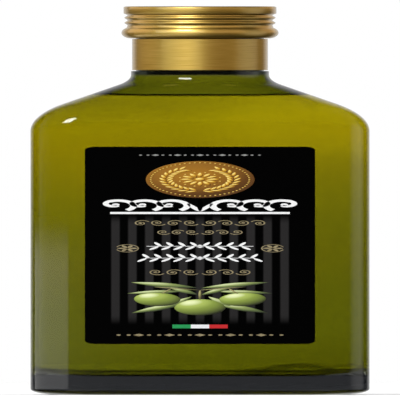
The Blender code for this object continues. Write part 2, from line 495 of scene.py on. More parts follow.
oil_top = OIL_LEVEL - SIGHT_BEND + CREEP
oil_inset = WALL - OIL_INTO_WALL
oil_half = BODY_HALF - oil_inset
oil_foot = BASE_THICKNESS - OIL_INTO_WALL
oil_rings = dome(oil_half - INNER_HEEL_WIDTH, oil_foot, FLOOR_RISE)[:-1]
oil_corner = BODY_CORNER - oil_inset
oil_rings += heel(oil_half, oil_corner, oil_foot, INNER_HEEL_WIDTH, INNER_HEEL_HEIGHT)
rising = shoulder(oil_inset)
below = [ring for ring in rising if ring[2] < oil_top]
last, after = below[-1], rising[len(below)]
share = (oil_top - last[2]) / (after[2] - last[2])
edge = [low + (high - low) * share for low, high in zip(last, after)]
oil_rings += below
oil_rings.append(tuple(edge))
for inward, drop in [(0.3, 0.45), (0.8, 0.75), (1.8, 0.95), (3.5, 1.0)]:
    oil_rings.append((edge[0] - inward * MM, edge[1] - inward * MM, edge[2] - drop * CREEP))

print("oil skin of", len(oil_rings), "rings")

# %% [markdown]
# A place that is lit or shaded softly is made from fades, one for each edge of it, multiplied together.

# %% Fades and products
def fade(tree, value, start, end, full=1.0):
    """A smooth rise from nothing at the start to full at the end."""
    settings = {"interpolation_type": "SMOOTHSTEP"}
    ramp = add_node(
        tree, "ShaderNodeMapRange", settings, Value=value, From_Min=start, From_Max=end, To_Max=full
    )
    return ramp.outputs["Result"]


def product(tree, first, *others):
    """Values or sockets, multiplied one after the other."""
    for other in others:
        first = compute(tree, "MULTIPLY", first, other)
    return first


# %% [markdown]
# Olive oil is a clear yellow-green, with an IOR of 1.47. Its colour is painted darker low down and
# lighter in the shoulder, a painted fall of light that also leans darker to the right; only in the
# shoulder does less oil really lie in the light's way. A painted pool of light, as from the window of a
# shop or studio, makes it lightest at the upper right. Two darker places of painted shade are multiplied
# over that: a line at the level, and a hump at the foot that rises on the right.

# %% The finish of the oil
FOOT_SHADE_RISE = 7.0 * MM
SWELL_LEFT = 5.0 * MM
SWELL_PEAK = 22.0 * MM
SWELL_RIGHT = 34.0 * MM
FOOT_SHADE_GREY = "A0A0A0"
LINE_THICKNESS = 0.9
LINE_BLUR = 0.3
PAINTED_LIGHT_ACROSS = (-8 * MM, 16 * MM)
PAINTED_LIGHT_UP = (143 * MM, 162 * MM)
PAINTED_LIGHT_COLOUR = "767676"

olive_oil, tree, shader = new_material("olive_oil", "8C7D01", IOR=1.47, **WET)
axes = axes_of(tree, object_place(tree))
# the painted shade at the foot rises in a hump between these two flanks
left_flank = fade(tree, axes["X"], SWELL_LEFT, SWELL_PEAK)
right_flank = fade(tree, axes["X"], SWELL_RIGHT, SWELL_PEAK)
painted_shade_swell = product(tree, FOOT_SHADE_RISE, left_flank, right_flank)
# painted light and shade: the oil is painted lighter with height up to the shoulder, and darker to the
# right
oil_colour_and_painted_shade = tint_by_height(
    tree,
    [
        (12, "5D5C04"),
        (22, "606106"),
        (35, "67680A"),
        (61, "6A6A0B"),
        (86, "726E0B"),
        (106, "78740B"),
        (125, "847C0B"),
        (144, "918409"),
        (163, "9F8D06"),
        (176, "A49304"),
        (182, "928405"),
        (191, "767009"),
    ],
    lean=-0.2,
)
# a painted shade at the foot of the oil, raised into a hump on the right
painted_foot_shade = tint_by_height(
    tree,
    [(8.5, "FFFFFF"), (11.0, FOOT_SHADE_GREY), (13.0, FOOT_SHADE_GREY), (13.4, "FFFFFF")],
    lowered=painted_shade_swell,
)
# a painted pool of light: the oil colour is lightened at the upper right
rightwards = fade(tree, axes["X"], *PAINTED_LIGHT_ACROSS)
high_up = fade(tree, axes["Z"], *PAINTED_LIGHT_UP)
painted_light_patch = product(tree, rightwards, high_up)
# a painted dark line just under the level, where the curved surface turns light away
line_foot = oil_top / MM - LINE_THICKNESS
painted_level_line = tint_by_height(tree, [(line_foot - LINE_BLUR, "FFFFFF"), (line_foot, "0C0B00")])
oil_colour_with_painted_light = mix_colours(tree, painted_light_patch, oil_colour_and_painted_shade, linear(PAINTED_LIGHT_COLOUR), "DODGE")
for shade in (painted_level_line, painted_foot_shade):
    oil_colour_with_painted_light = mix_colours(tree, 1.0, oil_colour_with_painted_light, shade, "MULTIPLY")
tree.links.new(oil_colour_with_painted_light, shader.inputs["Base Color"])
oil = add_piece("oil", loft(oil_rings), olive_oil, "olive_oil")
keep_flat(oil)

# %% [markdown]
# ## The cap and its collar
#
# The closure is a thin aluminium shell, drawn from sheet, lacquered gold and rolled: grooves and a
# bead are pressed into it on a lathe. A turned profile gives that shape, and a spin makes it round.

# %% Turn a profile round the bottle's axis
TURN_STEPS = 128


def spin(bm, geom, angle, steps, centre=(0, 0, 0), merge=False):
    """Spin points and edges round an upright line."""
    bmesh.ops.spin(
        bm, geom=geom, axis=(0, 0, 1), cent=centre, angle=angle, steps=steps, use_merge=merge
    )


def turn(profile, closed=False):
    """Spin a profile of radii and heights once round the vertical axis."""
    bm = bmesh.new()
    verts = [bm.verts.new((radius, 0, height)) for radius, height in profile]
    edges = [bm.edges.new(pair) for pair in zip(verts, verts[1:])]
    if closed:
        edges.append(bm.edges.new((verts[-1], verts[0])))
    spin(bm, verts + edges, math.tau, TURN_STEPS, merge=True)
    bmesh.ops.remove_doubles(bm, verts=bm.verts[:], dist=0.001 * MM)
    bmesh.ops.recalc_face_normals(bm, faces=bm.faces[:])
    return bm


print(TURN_STEPS, "steps round the axis")

# %% [markdown]
# The metal is aluminium under a clear gold lacquer. It is brushed on a lathe, so its fine scratches run
# round it. A noise that is long round the axis and fine along the profile makes the lacquer, the
# roughness and the surface waver. Height and distance from the axis are added up for it, so that the
# same noise draws lines round the side and rings on the flat top. The coat is the lacquer's own gloss.

# %% The gold lacquered aluminium
BRUSH_LENGTH = 7.0 * MM
BRUSH_WIDTH = 0.22 * MM
BRUSH_DEPTH = 0.006 * MM
SMOOTHEST = 0.32
ROUGHEST = 0.46

gold_aluminium, tree, shader = new_material(
    "gold_lacquered_aluminium",
    "D6B154",
    Metallic=1.0,
    Roughness=0.4,
    Anisotropic=0.3,
    Anisotropic_Rotation=0.25,
    Coat_Weight=1.0,
    Coat_Roughness=0.1,
    Coat_IOR=1.5,
)
axes = axes_of(tree, object_place(tree))
flat = add_node(tree, "ShaderNodeCombineXYZ", X=axes["X"], Y=axes["Y"])
length = {"operation": "LENGTH"}
from_axis = add_node(tree, "ShaderNodeVectorMath", length, input0=flat.outputs["Vector"])
along_profile = compute(tree, "ADD", axes["Z"], from_axis.outputs["Value"])
round_it = add_node(tree, "ShaderNodeCombineXYZ", X=axes["X"], Y=axes["Y"], Z=along_profile)
fineness = (1 / BRUSH_LENGTH, 1 / BRUSH_LENGTH, 1 / BRUSH_WIDTH)
stretched = add_node(tree, "ShaderNodeMapping", Vector=round_it.outputs["Vector"], Scale=fineness)
brushing = add_noise(tree, stretched.outputs["Vector"], 1.0, 3.0)
lacquer = add_ramp(tree, brushing, [(0.3, "C79E44"), (0.5, "D6B154"), (0.7, "E2BE66")])
tree.links.new(lacquer, shader.inputs["Base Color"])
sheen = add_node(tree, "ShaderNodeMapRange", Value=brushing, To_Min=SMOOTHEST, To_Max=ROUGHEST)
tree.links.new(sheen.outputs["Result"], shader.inputs["Roughness"])
add_bump(tree, shader, brushing, BRUSH_DEPTH, 0.5)

# %% [markdown]
# Down the cap's profile come the rounded top edge, the plain band, two waves for the ribs between three
# grooves, the round bead, and then the bore inside.

# %% The cap's profile
CAP_BOTTOM = cap_low[2]
CAP_TOP = cap_high[2]
BAND_RADIUS = 16.6 * MM
BAND_BOTTOM = 245.1 * MM
BAND_EDGE = 0.8 * MM
GROOVE_PITCH = 3.3 * MM
GROOVE_TOP = 243.9 * MM
GROOVE_RADIUS = 15.75 * MM
RIB_RADIUS = 16.42 * MM
BEAD_CENTRE = 15.0 * MM
BEAD_REACH = 2.05 * MM
BEAD_HEIGHT = 3.6 * MM
BEAD_END = math.radians(62)
CAP_BORE = 14.25 * MM
CAP_ROOF = 246.9 * MM
EDGE_STEPS = 6
RIBS = 2
RIB_STEPS = 16
BEAD_STEPS = 24

cap_profile = [(0, CAP_TOP)]
for step in range(EDGE_STEPS + 1):
    angle = math.pi / 2 * (1 - step / EDGE_STEPS)
    radius = BAND_RADIUS - BAND_EDGE * (1 - math.cos(angle))
    cap_profile.append((radius, CAP_TOP - BAND_EDGE * (1 - math.sin(angle))))
for inward, drop in [(0, 0), (0.1, 0.25), (0.45, 0.6)]:
    cap_profile.append((BAND_RADIUS - inward * MM, BAND_BOTTOM - drop * MM))
swing = (RIB_RADIUS - GROOVE_RADIUS) / 2
for step in range(RIBS * RIB_STEPS + 1):
    turns = step / RIB_STEPS
    radius = GROOVE_RADIUS + swing * (1 - math.cos(math.tau * turns))
    cap_profile.append((radius, GROOVE_TOP - GROOVE_PITCH * turns))
for step in range(BEAD_STEPS + 1):
    angle = BEAD_END - (BEAD_END + math.pi / 2) * step / BEAD_STEPS
    radius = BEAD_CENTRE + BEAD_REACH * math.cos(angle)
    cap_profile.append((radius, CAP_BOTTOM + BEAD_HEIGHT * (1 + math.sin(angle))))
cap_profile += [(CAP_BORE, CAP_BOTTOM), (CAP_BORE, CAP_ROOF), (0, CAP_ROOF)]
screw_cap = add_piece("screw_cap", turn(cap_profile), gold_aluminium, "cap")

# %% [markdown]
# The collar is the tamper ring: a plain tube of thin metal that stays on the neck. Its edges are broken
# a little, because a cut edge that catches no light looks like paper.

# %% The collar's profile
COLLAR_BOTTOM = collar_low[2]
COLLAR_TOP = collar_high[2]
COLLAR_RADIUS = collar_high[0]
COLLAR_WALL = 0.5 * MM
EDGE = 0.12 * MM
collar_profile = [
    (COLLAR_RADIUS - EDGE, COLLAR_TOP),
    (COLLAR_RADIUS, COLLAR_TOP - EDGE),
    (COLLAR_RADIUS, COLLAR_BOTTOM + EDGE),
    (COLLAR_RADIUS - EDGE, COLLAR_BOTTOM),
    (COLLAR_RADIUS - COLLAR_WALL, COLLAR_BOTTOM),
    (COLLAR_RADIUS - COLLAR_WALL, COLLAR_TOP),
]
tube = turn(collar_profile, closed=True)
neck_collar = add_piece("neck_collar", tube, gold_aluminium, "cap_collar")

# %% [markdown]
# ## The label
#
# The label is coated paper printed black and stuck flat on the glass. Offset black on coated paper
# hardly mirrors anything, so it is the darkest thing here. Its lower half has fine grey stripes that
# fade out at both ends. They are ink without thickness, so they are drawn in the paper's colour.

# %% The finish of the paper
STRIPE_PITCH = 3.67 * MM
STRIPE_HALF = 0.9 * MM
STRIPE_BLUR = 0.25 * MM
STRIPE_REACH = 5.5 * STRIPE_PITCH
STRIPE_FOOT = 44.8 * MM
STRIPE_TOP = 116.5 * MM
STRIPE_FADE = 7.0 * MM
PAPER_GRAIN = 0.4 * MM
GRAIN_DEPTH = 0.004 * MM
PAPER_BLACK = "010101"
STRIPE_GREY = "222121"

label_paper, tree, shader = new_material(
    "black_coated_paper", PAPER_BLACK, Roughness=0.4, Specular_IOR_Level=0.04
)
place = object_place(tree)
axes = axes_of(tree, place)
from_stripe = compute(tree, "PINGPONG", axes["X"], STRIPE_PITCH / 2)
from_middle = compute(tree, "ABSOLUTE", axes["X"])
limits = []
for value, low, high in [
    (from_stripe, STRIPE_HALF + STRIPE_BLUR, STRIPE_HALF - STRIPE_BLUR),
    (from_middle, STRIPE_REACH + STRIPE_BLUR, STRIPE_REACH),
    (axes["Z"], STRIPE_FOOT, STRIPE_FOOT + STRIPE_FADE),
    (axes["Z"], STRIPE_TOP, STRIPE_TOP - STRIPE_FADE),
]:
    limits.append(fade(tree, value, low, high))
strength = product(tree, *limits)
striped = mix_colours(tree, strength, linear(PAPER_BLACK), linear(STRIPE_GREY))
tree.links.new(striped, shader.inputs["Base Color"])
grain = add_noise(tree, place, PAPER_GRAIN, 3.0)
add_bump(tree, shader, grain, GRAIN_DEPTH, 0.5)

# %% [markdown]
# The paper is a rectangle whose four corners are bevelled round, and which is then extruded. It lies on
# the glass with next to no gap, and leaves room in front of it for the relief of the print.

# %% Thicken a flat drawing and stand it up
PAPER_BACK = BODY_HALF + 0.02 * MM
PAPER_THICKNESS = 0.2 * MM
PAPER_FRONT = PAPER_BACK + PAPER_THICKNESS
TRIM = 0.25 * MM
LABEL_CENTRE = (label_low[2] + label_high[2]) / 2 + TRIM
LABEL_CORNER = 2.2 * MM
LABEL_SIZE = (label_high[0] - label_low[0] + 2 * TRIM, label_high[2] - label_low[2] + TRIM)


def points_of(geom):
    """The points among the points, edges and faces that an operator returns."""
    return [item for item in geom if isinstance(item, bmesh.types.BMVert)]


def thicken(bm, thickness):
    """Extrude every face of a flat drawing outwards, so that each shape is a closed plate."""
    lifted = bmesh.ops.extrude_face_region(bm, geom=bm.faces[:])["geom"]
    bmesh.ops.translate(bm, verts=points_of(lifted), vec=(0, 0, thickness))


def stand_up(bm, depth):
    """Stand a drawing made on the ground up against the front, this far out from the axis."""
    upright = Matrix.Translation((0, -depth, 0)) @ Matrix.Rotation(math.pi / 2, 4, "X")
    bmesh.ops.transform(bm, matrix=upright, verts=bm.verts[:])
    bmesh.ops.recalc_face_normals(bm, faces=bm.faces[:])


print("paper", [round(side / MM, 1) for side in LABEL_SIZE], "mm")

# %% The paper
bm = bmesh.new()
outline = Matrix.Translation((0, LABEL_CENTRE, 0)) @ Matrix.Diagonal((*LABEL_SIZE, 1, 1))
bmesh.ops.create_grid(bm, x_segments=1, y_segments=1, size=0.5, matrix=outline)
corners = bm.verts[:]
bmesh.ops.bevel(
    bm, geom=corners, offset=LABEL_CORNER, affect="VERTICES", segments=8, profile=0.5, material=-1
)
thicken(bm, PAPER_THICKNESS)
stand_up(bm, PAPER_BACK)
add_piece("label_paper", bm, label_paper, "label")

# %% [markdown]
# ## The print
#
# The print is made of simple flat shapes: discs, lozenges, bars and arcs. An arc is a short edge that is
# spun, and a scroll is a chain of half turns that get smaller. Each drawing is laid out in millimetres,
# across and up, and gets the thickness of an ink film. The lines of the label are lines of ornament.

# %% Flat shapes
INK = 0.05 * MM
ARC_STEP = 12


def at(across, height, wide=1.0, tall=1.0, turned=0.0):
    """A place on the label in millimetres, with the half sizes of a shape and its turn in degrees."""
    return (
        Matrix.Translation((across * MM, height * MM, 0))
        @ Matrix.Rotation(math.radians(turned), 4, "Z")
        @ Matrix.Diagonal((wide * MM, tall * MM, 1, 1))
    )


def disc(bm, place, points):
    """A filled ellipse, or a lozenge where it has four points."""
    bmesh.ops.create_circle(bm, cap_ends=True, segments=points, radius=1, matrix=place)


def bar(bm, place):
    """A filled rectangle."""
    bmesh.ops.create_grid(bm, x_segments=1, y_segments=1, size=1, matrix=place)


def arc(bm, across, height, radius, width, start, sweep):
    """A band of constant width round a middle, from a start angle through a sweep in degrees."""
    ends = []
    for reach in (radius - width / 2, radius + width / 2):
        angle = math.radians(start)
        x = (across + reach * math.cos(angle)) * MM
        y = (height + reach * math.sin(angle)) * MM
        ends.append(bm.verts.new((x, y, 0)))
    geom = ends + [bm.edges.new(ends)]
    steps = max(3, round(abs(sweep) / ARC_STEP))
    spin(bm, geom, math.radians(sweep), steps, centre=(across * MM, height * MM, 0))


def scroll(bm, across, height, radius, width, start, hand, halves=3, shrink=0.6):
    """A spiral of half turns, each smaller and finer than the last, with a round eye."""
    for _ in range(halves):
        arc(bm, across, height, radius, width, start, 180 * hand)
        start += 180 * hand
        smaller = radius * shrink
        across += (radius - smaller) * math.cos(math.radians(start))
        height += (radius - smaller) * math.sin(math.radians(start))
        radius = smaller
        width *= 0.85
    disc(bm, at(across, height, radius, radius), points=12)


def lay_on_paper(name, bm, finish):
    """A drawing becomes a piece on the front of the paper."""
    stand_up(bm, PAPER_FRONT)
    add_piece(name, bm, finish)


def print_ink(name, bm, ink):
    """Lay a flat drawing on the paper as an ink film."""
    thicken(bm, INK)
    lay_on_paper(name, bm, ink)


print("an ink film is", round(INK / MM, 2), "mm thick")

# %% [markdown]
# Ink on coated paper is a dull film, a little uneven where the paper's fibres take it up. One function
# makes each ink from its colour.

# %% The inks
INK_MOTTLE = 0.6 * MM


def new_ink(name, colour, darker):
    """A dull ink whose colour wavers a little between two hex colours."""
    ink, tree, shader = new_material(name, colour, Roughness=0.55, Specular_IOR_Level=0.3)
    mottle = add_noise(tree, object_place(tree), INK_MOTTLE, 2.0)
    tint = add_ramp(tree, mottle, [(0.3, darker), (0.7, colour)])
    tree.links.new(tint, shader.inputs["Base Color"])
    return ink


white_ink = new_ink("white_ink", "D8D8D8", "CACACA")
gold_ink = new_ink("gold_ink", "8C8061", "6E6244")
pale_ink = new_ink("pale_grey_ink", "868683", "727270")

# %% [markdown]
# The bold white band is a running scroll, the wave that Greek potters drew round their jars. It starts
# from a small fan in the middle and runs out to both sides. Its other half is its mirror image.

# %% The running scroll
SCROLL_HEIGHT = 121.6
SCROLL_FIRST = 6.2
SCROLL_PITCH = 5.8
SCROLL_RADIUS = 3.4
SCROLL_WIDTH = 1.5
SCROLL_TURN = 235
SCROLL_REACH = 19.5
FAN_FOOT = 118.0
FAN_WIDTH = 0.62
RULE_HEIGHT = 117.0
RULE_WIDTH = 0.65


def mirrored(bm, draw):
    """Draw once to the right and once, mirrored, to the left."""
    before = set(bm.verts)
    draw()
    fresh = [vert for vert in bm.verts if vert not in before]
    faces = list({face for vert in fresh for face in vert.link_faces})
    copied = bmesh.ops.duplicate(bm, geom=fresh + faces)["geom"]
    bmesh.ops.scale(bm, verts=points_of(copied), vec=(-1, 1, 1))


bm = bmesh.new()


def wave():
    for number in range(3):
        middle = SCROLL_FIRST + SCROLL_PITCH * number
        size = (SCROLL_RADIUS, SCROLL_WIDTH)
        scroll(bm, middle, SCROLL_HEIGHT, *size, SCROLL_TURN, -1, halves=2, shrink=0.5)
    for long, turned in ((3.9, 90), (2.9, 62)):
        angle = math.radians(turned)
        x = long * math.cos(angle)
        disc(bm, at(x, FAN_FOOT + long * math.sin(angle), long, FAN_WIDTH, turned), points=16)


mirrored(bm, wave)
bar(bm, at(0, RULE_HEIGHT, SCROLL_REACH, RULE_WIDTH))
print_ink("running_scroll", bm, white_ink)

# %% [markdown]
# Finer ornament fills the other lines: small scrolls in gold, garlands of leaves in white, a rosette on
# each side of them, and rules of dots and lozenges.

# %% The fine ornament
SCROLL_SPACING = 2.3
LEAF_SPACING = 0.9
LEAF_LIFT = 0.42
BEAD_SPACING = 2.6


def scroll_row(bm, height, reach, radius, width):
    """Small scrolls that run out from the middle, alternately up and down."""
    count = round(reach / (SCROLL_SPACING * radius))

    def row():
        for number in range(count):
            middle = radius * SCROLL_SPACING * (number + 0.5)
            side = 1 if number % 2 else -1
            scroll(bm, middle, height, radius, width, 150 * side, -side)

    mirrored(bm, row)


def garland(bm, height, reach, leaf, thick):
    """Upright and slanting leaves in turn, on a fine stem."""
    count = round(reach / (leaf * LEAF_SPACING))

    def row():
        for number in range(count):
            middle = leaf * LEAF_SPACING * (number + 0.5)
            lift = leaf * LEAF_LIFT
            disc(bm, at(middle, height + lift, leaf * 0.55, thick, 62), points=12)
            disc(bm, at(middle + leaf * 0.3, height - lift, leaf * 0.5, thick, -48), points=12)

    mirrored(bm, row)
    bar(bm, at(0, height, reach, 0.14))
    disc(bm, at(0, height, 1.1, 1.1), points=4)


def bead_rule(bm, height, reach, size):
    """Dots and lozenges in turn."""
    count = round(reach / (size * BEAD_SPACING))
    for number in range(-count, count + 1):
        middle = number * size * BEAD_SPACING
        if number % 3:
            disc(bm, at(middle, height, size * 0.55, size * 0.55), points=12)
        else:
            disc(bm, at(middle, height, size * 1.4, size), points=4)


bm = bmesh.new()
bead_rule(bm, height=154.2, reach=12.8, size=0.62)
print_ink("top_rule", bm, pale_ink)

bm = bmesh.new()
scroll_row(bm, height=110.6, reach=12.7, radius=1.55, width=0.34)
scroll_row(bm, height=104.6, reach=7.8, radius=1.35, width=0.32)
scroll_row(bm, height=78.9, reach=12.8, radius=1.6, width=0.34)
bead_rule(bm, height=38.6, reach=18.2, size=0.85)
print_ink("gold_ornament", bm, gold_ink)

bm = bmesh.new()
garland(bm, height=95.6, reach=11.6, leaf=2.9, thick=0.46)
garland(bm, height=88.0, reach=11.9, leaf=2.9, thick=0.46)
print_ink("leaf_garlands", bm, white_ink)

# %% The rosettes beside the garlands
ROSETTE_PLACE = 15.8
ROSETTE_HEIGHT = 94.3
ROSETTE_RING = 2.4
PETAL_PLACE = 1.25


def rosette():
    for petal in range(6):
        turned = 60 * petal
        angle = math.radians(turned)
        x = ROSETTE_PLACE + PETAL_PLACE * math.cos(angle)
        y = ROSETTE_HEIGHT + PETAL_PLACE * math.sin(angle)
        disc(bm, at(x, y, 0.95, 0.42, turned), points=12)
    arc(bm, ROSETTE_PLACE, ROSETTE_HEIGHT, ROSETTE_RING, width=0.28, start=20, sweep=320)


bm = bmesh.new()
mirrored(bm, rosette)
print_ink("rosettes", bm, gold_ink)

# %% [markdown]
# A small bar of three colours is three rectangles in a row, each in its own ink.

# %% The bar of three colours
COLOUR_BAR_HEIGHT = 44.1
FIELD_WIDTH = 4.0
FIELD_HEIGHT = 2.4

for number, (name, colour, darker) in enumerate(
    [("green", "078B48", "057F41"), ("white", "D2D2D4", "C8C8CA"), ("red", "B40A12", "A8070E")]
):
    bm = bmesh.new()
    middle = FIELD_WIDTH * (number - 1)
    bar(bm, at(middle, COLOUR_BAR_HEIGHT, FIELD_WIDTH / 2, FIELD_HEIGHT / 2))
    print_ink(f"colour_bar_{name}", bm, new_ink(f"{name}_bar_ink", colour, darker))

# %% [markdown]
# ## The medal and the spray of olives
#
# These are embossed: the paper is pressed out from behind, so the print stands in low relief. Each
# olive, leaf and bead is a ball, pressed nearly flat. The printer's shading is kept as an attribute on
# the mesh: before a ball is flattened, each point notes how far it faces the light at the upper left.

# %% Pressed balls with their shading
TOWARDS_LIGHT = Vector((-0.4, 0.62, 0.67)).normalized()


def ball(bm, place, deep, points, pointed=0.0):
    """A ball pressed to a low relief. Pointed narrows its ends, as a leaf's are."""
    shade = bm.verts.layers.float.get("shade") or bm.verts.layers.float.new("shade")
    verts = bmesh.ops.create_uvsphere(
        bm, u_segments=points[0], v_segments=points[1], radius=1
    )["verts"]
    turned = place.to_euler().to_matrix()
    for vert in verts:
        vert[shade] = 0.5 + 0.5 * (turned @ vert.co).dot(TOWARDS_LIGHT)
        vert.co.y *= 1 - pointed * vert.co.x**2
    bmesh.ops.transform(bm, matrix=place @ Matrix.Diagonal((1, 1, deep * MM, 1)), verts=verts)


def new_relief(name, stops, **values):
    """A finish that reads the printed shading, as pairs of how far it faces the light and colour."""
    relief, tree, shader = new_material(name, stops[-1][1], Roughness=0.5, **values)
    shading = add_node(tree, "ShaderNodeAttribute", {"attribute_name": "shade"})
    tint = add_ramp(tree, shading.outputs["Fac"], stops)
    tree.links.new(tint, shader.inputs["Base Color"])
    return relief


olive_skin = new_relief(
    "printed_olive",
    [(0.3, "262B08"), (0.55, "556314"), (0.78, "768928"), (0.93, "98A94A"), (1.0, "D2DAA6")],
)
olive_leaf = new_relief(
    "printed_leaf", [(0.35, "1B220D"), (0.65, "4E5E28"), (0.85, "7A8845"), (1.0, "B9C38F")]
)
twig_brown = new_relief("printed_twig", [(0.3, "29260F"), (0.7, "5F5A2C"), (1.0, "9B9460")])
medal_gold = new_relief(
    "gold_foil",
    [(0.2, "180D01"), (0.4, "583403"), (0.56, "8A5C08"), (0.75, "B58716"), (1.0, "DCC672")],
    Specular_IOR_Level=0.2,
)

# %% The spray of olives
SPRAY_HEIGHT = 63.0
leaves = bmesh.new()
for side in (-1, 1):
    for across, height, length, width, turned in [
        (7.6, 7.6, 7.6, 1.5, 14),
        (9.6, 3.0, 6.2, 1.3, -6),
        (9.0, -7.2, 6.6, 1.5, -28),
        (3.6, 3.9, 4.4, 1.1, 38),
        (5.0, -3.8, 5.2, 1.2, -52),
    ]:
        place = at(across * side, SPRAY_HEIGHT + height, length, width, turned * side)
        ball(leaves, place, deep=0.08, points=(24, 8), pointed=0.75)
lay_on_paper("olive_leaves", leaves, olive_leaf)

twigs = bmesh.new()
for side in (-1, 1):
    for across, height, length, turned in [(4.8, 5.4, 5.4, 12), (7.6, 3.2, 2.6, -58)]:
        place = at(across * side, SPRAY_HEIGHT + height, length, 0.32, turned * side)
        ball(twigs, place, deep=0.12, points=(16, 6))
ball(twigs, at(0, SPRAY_HEIGHT + 1.0, 3.4, 0.34, 90), deep=0.12, points=(16, 6))
lay_on_paper("olive_twigs", twigs, twig_brown)

olives = bmesh.new()
for across, height, wide, tall, turned in [
    (-9.2, -1.6, 5.2, 4.3, -16),
    (9.2, -1.6, 5.2, 4.3, 16),
    (0, -6.6, 5.6, 5.2, 0),
]:
    place = at(across, SPRAY_HEIGHT + height, wide, tall, turned)
    ball(olives, place, deep=0.24, points=(32, 20))
lay_on_paper("olives", olives, olive_skin)

# %% [markdown]
# The medal is struck like a coin: a turned disc with a raised rim and a ring of beads, a wreath of
# laurel and a rosette in the middle.

# %% The medal
MEDAL_PLACE = (0.05, 138.5)
MEDAL_RADIUS = 11.8
MEDAL_HEIGHT = 0.13
MEDAL_RIM = [(1.6, 0), (1.4, -0.05), (0.8, -0.05), (0.6, 0.08), (0.2, 0.08), (0, 0)]
RIM_START = 0.86
MEDAL_BEADS = 60
BEAD_RING = MEDAL_RADIUS - 1.1
MEDAL_PETALS = 12
PETAL_RING = 2.9
DOT_RING = 4.5
WREATH_RADIUS = 7.3
WREATH_HALF = 0.75
WREATH_LEAVES = 12
WREATH_GAP = 14
WREATH_SWEEP = 150
LEAF_TILT = 58

medal_profile = [(0, MEDAL_HEIGHT * MM)]
for inward, lift in MEDAL_RIM:
    medal_profile.append(((MEDAL_RADIUS - inward) * MM, (MEDAL_HEIGHT + lift) * MM))
medal_profile += [(MEDAL_RADIUS * MM, 0), (0, 0)]
medal = turn(medal_profile)
shade = medal.verts.layers.float.new("shade")
# painted sheen on the gold: the field is lighter towards the right, and the rim lighter where it faces
# the light at the upper left
for vert in medal.verts:
    spot = vert.co.to_2d() / (MEDAL_RADIUS * MM)
    vert[shade] = 0.61 + 0.08 * spot.x
    if spot.length > RIM_START:
        vert[shade] = 0.44 + 0.14 * spot.dot(TOWARDS_LIGHT.to_2d())
bmesh.ops.translate(medal, verts=medal.verts[:], vec=at(*MEDAL_PLACE).to_translation())


def medal_ball(radius, turned, long, thick, tilt, points, pointed=0.0):
    """One relief on the medal, by its place round the middle and its tilt from that direction."""
    angle = math.radians(turned)
    x = MEDAL_PLACE[0] + radius * math.cos(angle)
    y = MEDAL_PLACE[1] + radius * math.sin(angle)
    place = at(x, y, long, thick, turned + tilt)
    lifted = Matrix.Translation((0, 0, MEDAL_HEIGHT * MM)) @ place
    ball(medal, lifted, deep=0.11, points=points, pointed=pointed)


for number in range(MEDAL_BEADS):
    turned = 360 / MEDAL_BEADS * number
    medal_ball(BEAD_RING, turned, 0.3, 0.3, 0, (8, 6))
for side in (-1, 1):
    for number in range(WREATH_LEAVES):
        turned = -90 + side * (WREATH_GAP + WREATH_SWEEP / WREATH_LEAVES * number)
        for tilt, offset in ((LEAF_TILT, WREATH_HALF), (180 - LEAF_TILT, -WREATH_HALF)):
            radius = WREATH_RADIUS + offset
            medal_ball(radius, turned, 1.45, 0.5, tilt * side, (12, 6), pointed=0.6)
for petal in range(MEDAL_PETALS):
    turned = 360 / MEDAL_PETALS * petal
    medal_ball(PETAL_RING, turned, 1.5, 0.62, 0, (12, 6), pointed=0.5)
    medal_ball(DOT_RING, turned + 180 / MEDAL_PETALS, 0.32, 0.32, 0, (8, 6))
medal_ball(0, 0, 1.1, 1.1, 0, (16, 8))
lay_on_paper("medal", medal, medal_gold)

# %% [markdown]
# ## The stage
#
# The bottle stands on a white floor that melts into white all round, as in a shop's photographs. The
# floor is matt, and is kept out of mirror-like reflections, so that it lays no veil over the glass.

# %% The floor
FLOOR_HALF = 1.5
bm = bmesh.new()
bar(bm, Matrix.Scale(FLOOR_HALF, 4))
floor_paint, tree, shader = new_material("white_floor", "F8F8F8", Roughness=0.9)
floor = mesh_object("floor", bm, floor_paint)
floor.visible_glossy = False

# %% [markdown]
# ## The light
#
# Clear things are lit from behind: glass and oil are seen by the white wall that shines through them.
# What they mirror would lie over that as a grey veil, so a photographer keeps the room in front dark.
# The world here does both. A ray that leaves a mirror-like surface finds a dark room with a white wall
# only right behind the bottle, which draws a thin bright rim along its edges. Every other ray finds
# white.

# %% The light all round
world = bpy.data.worlds.new("studio")
bpy.context.scene.world = world
world.use_nodes = True
tree = world.node_tree
tree.nodes.clear()
WALL_EDGE = 0.66
WALL_FULL = 0.92
WALL_LIGHT = 0.65
RIGHT_EDGE = 0.85
RIGHT_GLOW = 0.5
FLOOR_LIGHT = 1.15

path = add_node(tree, "ShaderNodeLightPath").outputs
towards = add_node(tree, "ShaderNodeTexCoord")
axes = axes_of(tree, towards.outputs["Generated"])
white_wall = fade(tree, axes["Y"], WALL_EDGE, WALL_FULL, WALL_LIGHT)
right_wall = fade(tree, axes["X"], RIGHT_EDGE, 1.0, RIGHT_GLOW)
walls = compute(tree, "ADD", white_wall, right_wall)
brightness = add_node(
    tree, "ShaderNodeMapRange", Value=path["Is Diffuse Ray"], To_Min=1.0, To_Max=FLOOR_LIGHT
)
shown = add_node(tree, "ShaderNodeBackground", Strength=brightness.outputs["Result"])
in_mirrors = add_node(tree, "ShaderNodeBackground", Strength=walls)
for background in (shown, in_mirrors):
    background.inputs["Color"].default_value = (1, 1, 1, 1)
reflected = add_node(
    tree,
    "ShaderNodeMath",
    {"operation": "SUBTRACT", "use_clamp": True},
    input0=path["Is Glossy Ray"],
    input1=path["Is Transmission Ray"],
)
chosen = add_node(
    tree,
    "ShaderNodeMixShader",
    Fac=reflected.outputs["Value"],
    input1=shown.outputs["Background"],
    input2=in_mirrors.outputs["Background"],
)
